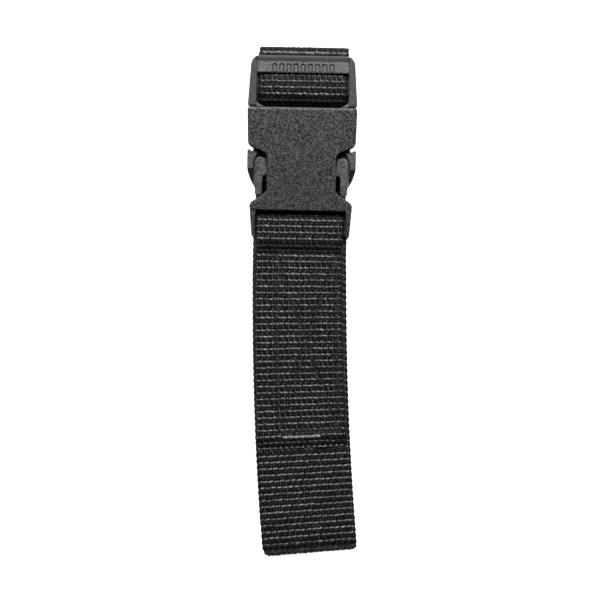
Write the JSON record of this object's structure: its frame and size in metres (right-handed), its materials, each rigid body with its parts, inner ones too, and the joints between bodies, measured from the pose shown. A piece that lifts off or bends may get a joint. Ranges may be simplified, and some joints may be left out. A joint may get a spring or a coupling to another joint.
{
  "type": "strap tourniquet",
  "caption": "Folded strap tourniquet: a woven webbing band with a plastic side-release buckle, squeeze arms, toothed tension bar and a box-stitched sewn end.",
  "frame": {"origin": "on the plane the folded strap rests on, under the middle of the receptacle's mouth", "axes": "+X to the right seen from the front, +Y from the receptacle towards the plug, +Z out of the buckle's front face"},
  "size_m": [0.0483, 0.2118, 0.018],
  "materials": {
    "receptacle_plastic": "black acetal with a coarse spark-eroded grain",
    "plug_plastic": "black acetal, fine grain, smooth on the end lip",
    "arm_plastic": "black acetal, fine grain on the thumb pads",
    "webbing": "black plain-woven webbing with shiny filament floats",
    "seam_thread": "black bonded thread"
  },
  "bodies": {
    "receptacle": {"receptacle_body": "receptacle_plastic", "strap_sewn_loop": "webbing", "strap_front_run": "webbing", "strap_bottom_fold": "webbing", "strap_back_run": "webbing", "box_seam_thread": "seam_thread"},
    "plug": {"plug_frame": "plug_plastic", "strap_adjuster_wrap": "webbing", "strap_top_fold": "webbing"},
    "left_arm": {"left_release_arm": "arm_plastic"},
    "right_arm": {"right_release_arm": "arm_plastic"},
    "tail_upper": {"strap_tail_upper": "webbing", "strap_tail_fold": "webbing"},
    "tail_lower": {"strap_tail_lower": "webbing"}
  },
  "joints": [
    {"name": "plug_slide", "type": "slide", "parent": "receptacle", "child": "plug", "axis": [0, 1, 0], "range_m": [0, 0.045], "deforming": ["left_release_arm", "right_release_arm"]},
    {"name": "left_arm_squeeze", "type": "hinge", "parent": "plug", "child": "left_arm", "pos_m": [-0.017, -0.0042, 0.012], "axis": [0, 0, 1], "range_deg": [0, 10]},
    {"name": "right_arm_squeeze", "type": "hinge", "parent": "plug", "child": "right_arm", "pos_m": [0.017, -0.0042, 0.012], "axis": [0, 0, -1], "range_deg": [0, 10]},
    {"name": "tail_unfold", "type": "hinge", "parent": "plug", "child": "tail_upper", "pos_m": [0, 0.0218, 0.00605], "axis": [1, 0, 0], "range_deg": [0, 180], "deforming": ["strap_top_fold"]},
    {"name": "tail_end_unfold", "type": "hinge", "parent": "tail_upper", "child": "tail_lower", "pos_m": [0.00516, -0.17, 0.0018], "axis": [-0.996, -0.0893, 0], "range_deg": [0, 180], "deforming": ["strap_tail_fold"]}
  ]
}
